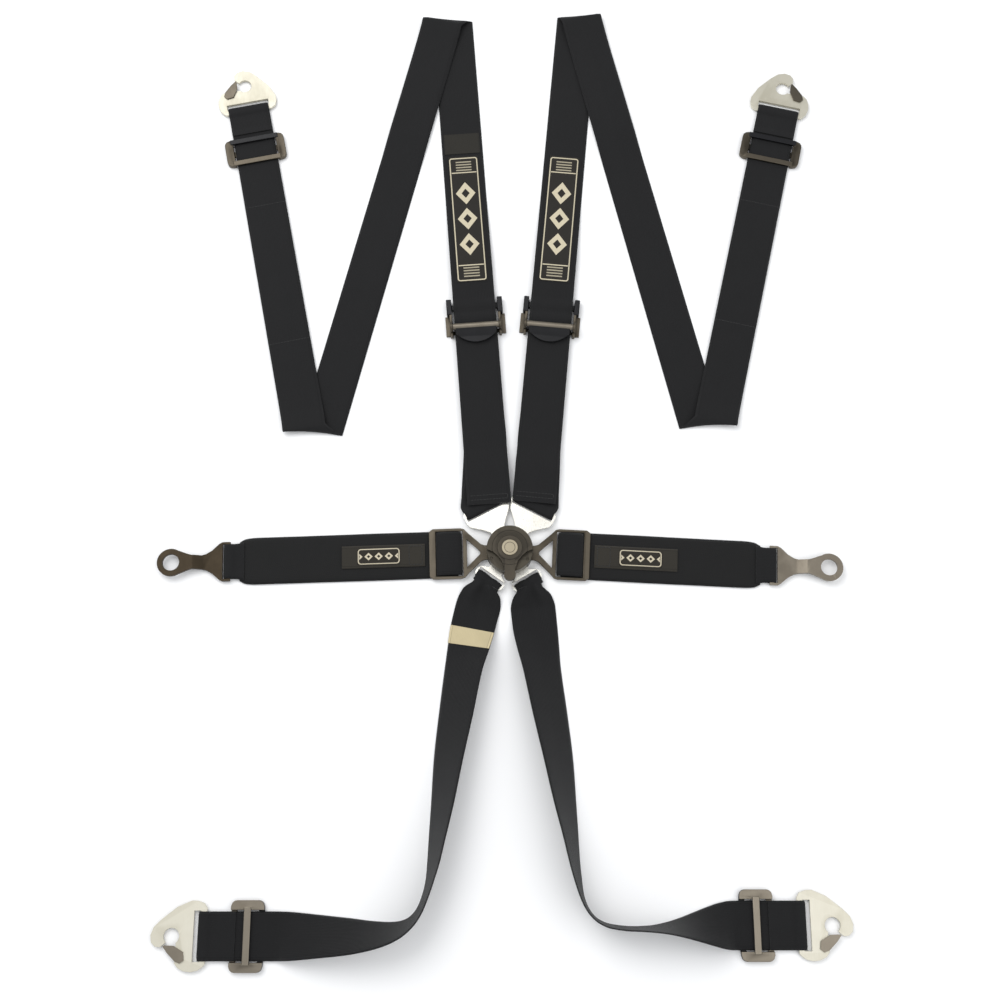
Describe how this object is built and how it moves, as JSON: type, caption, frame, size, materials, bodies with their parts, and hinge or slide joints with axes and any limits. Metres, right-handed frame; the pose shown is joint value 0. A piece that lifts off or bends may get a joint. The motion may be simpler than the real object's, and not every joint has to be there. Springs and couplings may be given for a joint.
{
  "type": "racing harness",
  "caption": "Six-point racing harness laid flat: rotary release buckle, folded shoulder straps with tilt adjusters, lap belts with bolt-in eyes, leg straps with snap hooks",
  "frame": {"origin": "centre of the buckle's back face, on the floor", "axes": "+X to the right lap belt, +Y up the shoulder straps, +Z away from the floor"},
  "size_m": [0.7403, 1.1058, 0.0488],
  "materials": {
    "webbing": "matte",
    "trim": "matte",
    "zinc": "satin",
    "gunmetal": "satin",
    "black": "satin"
  },
  "bodies": {
    "buckle": {"buckle_base": "gunmetal", "buckle_housing": "gunmetal", "housing_rivets": "zinc", "return_spring": "zinc", "latch_star": "zinc", "left_lap_frame": "gunmetal", "left_lap_roll": "webbing"},
    "knob": {"release_knob": "gunmetal", "knob_badge": "black", "cam_plate": "zinc", "cam_spindle": "zinc"},
    "left_shoulder_anchor": {"left_shoulder_tongue": "zinc", "left_anchor_strap": "webbing", "left_adjuster_frame": "gunmetal", "left_adjuster_bar": "black"},
    "left_tab": {"left_release_tab": "black"},
    "left_shoulder_strap": {"left_inner_run": "webbing", "left_middle_run": "webbing", "left_outer_run": "webbing", "left_label": "trim"},
    "left_strap_slider": {"left_slider": "gunmetal"},
    "left_shoulder_hook": {"left_hook_loop": "webbing", "left_hook": "zinc"},
    "left_hook_gate": {"left_gate": "zinc"},
    "left_lap": {"left_lap_belt": "webbing", "left_pull_tab": "trim"},
    "left_lap_eye": {"left_bracket_loop": "webbing", "left_eye_bracket": "gunmetal"},
    "left_leg": {"left_leg_tongue": "zinc", "left_leg_strap": "webbing"},
    "left_leg_strap_slider": {"left_leg_slider": "gunmetal"},
    "left_leg_hook_body": {"left_leg_hook_loop": "webbing", "left_leg_hook": "zinc"},
    "left_leg_hook_gate": {"left_leg_gate": "zinc"},
    "right_shoulder_anchor": {"right_shoulder_tongue": "zinc", "right_anchor_strap": "webbing", "right_adjuster_frame": "gunmetal", "right_adjuster_bar": "black"},
    "right_tab": {"right_release_tab": "black"},
    "right_shoulder_strap": {"right_inner_run": "webbing", "right_middle_run": "webbing", "right_outer_run": "webbing", "right_label": "trim"},
    "right_strap_slider": {"right_slider": "gunmetal"},
    "right_shoulder_hook": {"right_hook_loop": "webbing", "right_hook": "zinc"},
    "right_hook_gate": {"right_gate": "zinc"},
    "right_lap_anchor": {"right_lap_frame": "gunmetal", "right_lap_roll": "webbing"},
    "right_lap": {"right_lap_belt": "webbing", "right_pull_tab": "trim"},
    "right_lap_eye": {"right_bracket_loop": "webbing", "right_eye_bracket": "gunmetal"},
    "right_leg": {"right_leg_tongue": "zinc", "right_leg_strap": "webbing"},
    "right_leg_strap_slider": {"right_leg_slider": "gunmetal"},
    "right_leg_hook_body": {"right_leg_hook_loop": "webbing", "right_leg_hook": "zinc"},
    "right_leg_hook_gate": {"right_leg_gate": "zinc"}
  },
  "joints": [
    {"name": "knob_turn", "type": "hinge", "parent": "buckle", "child": "knob", "pos_m": [0, 0, 0.02], "axis": [0, 0, 1], "range_deg": [-60, 60], "stiffness_Nm_per_rad": 0.05, "deforming": ["latch_star"]},
    {"name": "left_shoulder_release", "type": "slide", "parent": "buckle", "child": "left_shoulder_anchor", "axis": [-0.4695, 0.8829, 0], "range_m": [0, 0.02]},
    {"name": "left_tab_tilt", "type": "hinge", "parent": "left_shoulder_anchor", "child": "left_tab", "pos_m": [-0.0378, 0.26153, 0.0126], "axis": [-0.9972, -0.0753, 0], "range_deg": [0, 50]},
    {"name": "left_shoulder_adjust", "type": "slide", "parent": "left_shoulder_anchor", "child": "left_shoulder_strap", "axis": [-0.0753, 0.9972, 0], "range_m": [0, 0.08]},
    {"name": "left_slider_slide", "type": "slide", "parent": "left_shoulder_strap", "child": "left_strap_slider", "axis": [-0.2004, 0.9797, 0], "range_m": [-0.12, 0.002]},
    {"name": "left_hook_flex", "type": "hinge", "parent": "left_shoulder_strap", "child": "left_shoulder_hook", "pos_m": [-0.30427, 0.51472, 0.0033], "axis": [0.9797, 0.2004, 0], "range_deg": [0, 60]},
    {"name": "left_gate_open", "type": "hinge", "parent": "left_shoulder_hook", "child": "left_hook_gate", "pos_m": [-0.33372, 0.55891, 0.006], "axis": [0, 0, -1], "range_deg": [0, 35], "stiffness_Nm_per_rad": 0.01},
    {"name": "left_lap_adjust", "type": "slide", "parent": "buckle", "child": "left_lap", "axis": [-0.9994, -0.0349, 0], "range_m": [0, 0.02]},
    {"name": "left_eye_flex", "type": "hinge", "parent": "left_lap", "child": "left_lap_eye", "pos_m": [-0.29462, -0.01029, 0.0032], "axis": [-0.0349, 0.9994, 0], "range_deg": [0, 60]},
    {"name": "left_leg_release", "type": "slide", "parent": "buckle", "child": "left_leg", "axis": [-0.5878, -0.809, 0], "range_m": [0, 0.02]},
    {"name": "left_leg_slider_slide", "type": "slide", "parent": "left_leg", "child": "left_leg_strap_slider", "axis": [-1, 0, 0], "range_m": [-0.005, 0]},
    {"name": "left_leg_hook_flex", "type": "hinge", "parent": "left_leg", "child": "left_leg_hook_body", "pos_m": [-0.2813, -0.398, 0.0033], "axis": [0, 1, 0], "range_deg": [0, 60]},
    {"name": "left_leg_gate_open", "type": "hinge", "parent": "left_leg_hook_body", "child": "left_leg_hook_gate", "pos_m": [-0.3305, -0.418, 0.006], "axis": [0, 0, -1], "range_deg": [0, 35], "stiffness_Nm_per_rad": 0.01},
    {"name": "right_shoulder_release", "type": "slide", "parent": "buckle", "child": "right_shoulder_anchor", "axis": [0.4695, 0.8829, 0], "range_m": [0, 0.02]},
    {"name": "right_tab_tilt", "type": "hinge", "parent": "right_shoulder_anchor", "child": "right_tab", "pos_m": [0.0458, 0.26155, 0.0126], "axis": [-0.9958, 0.0918, 0], "range_deg": [0, 50]},
    {"name": "right_shoulder_adjust", "type": "slide", "parent": "right_shoulder_anchor", "child": "right_shoulder_strap", "axis": [0.0918, 0.9958, 0], "range_m": [0, 0.08]},
    {"name": "right_slider_slide", "type": "slide", "parent": "right_shoulder_strap", "child": "right_strap_slider", "axis": [0.2273, 0.9738, 0], "range_m": [-0.12, 0.002]},
    {"name": "right_hook_flex", "type": "hinge", "parent": "right_shoulder_strap", "child": "right_shoulder_hook", "pos_m": [0.31423, 0.51165, 0.0033], "axis": [0.9738, -0.2273, 0], "range_deg": [0, 60]},
    {"name": "right_gate_open", "type": "hinge", "parent": "right_shoulder_hook", "child": "right_hook_gate", "pos_m": [0.34489, 0.55502, 0.006], "axis": [0, 0, 1], "range_deg": [0, 35], "stiffness_Nm_per_rad": 0.01},
    {"name": "right_lap_release", "type": "slide", "parent": "buckle", "child": "right_lap_anchor", "axis": [0.9986, -0.0523, 0], "range_m": [0, 0.02]},
    {"name": "right_lap_adjust", "type": "slide", "parent": "right_lap_anchor", "child": "right_lap", "axis": [0.9986, -0.0523, 0], "range_m": [0, 0.02]},
    {"name": "right_eye_flex", "type": "hinge", "parent": "right_lap", "child": "right_lap_eye", "pos_m": [0.27342, -0.01433, 0.0032], "axis": [-0.0523, -0.9986, 0], "range_deg": [0, 60]},
    {"name": "right_leg_release", "type": "slide", "parent": "buckle", "child": "right_leg", "axis": [0.5, -0.866, 0], "range_m": [0, 0.02]},
    {"name": "right_leg_slider_slide", "type": "slide", "parent": "right_leg", "child": "right_leg_strap_slider", "axis": [1, 0, 0], "range_m": [-0.005, 0]},
    {"name": "right_leg_hook_flex", "type": "hinge", "parent": "right_leg", "child": "right_leg_hook_body", "pos_m": [0.2648, -0.3875, 0.0033], "axis": [0, -1, 0], "range_deg": [0, 60]},
    {"name": "right_leg_gate_open", "type": "hinge", "parent": "right_leg_hook_body", "child": "right_leg_hook_gate", "pos_m": [0.314, -0.4075, 0.006], "axis": [0, 0, 1], "range_deg": [0, 35], "stiffness_Nm_per_rad": 0.01}
  ]
}
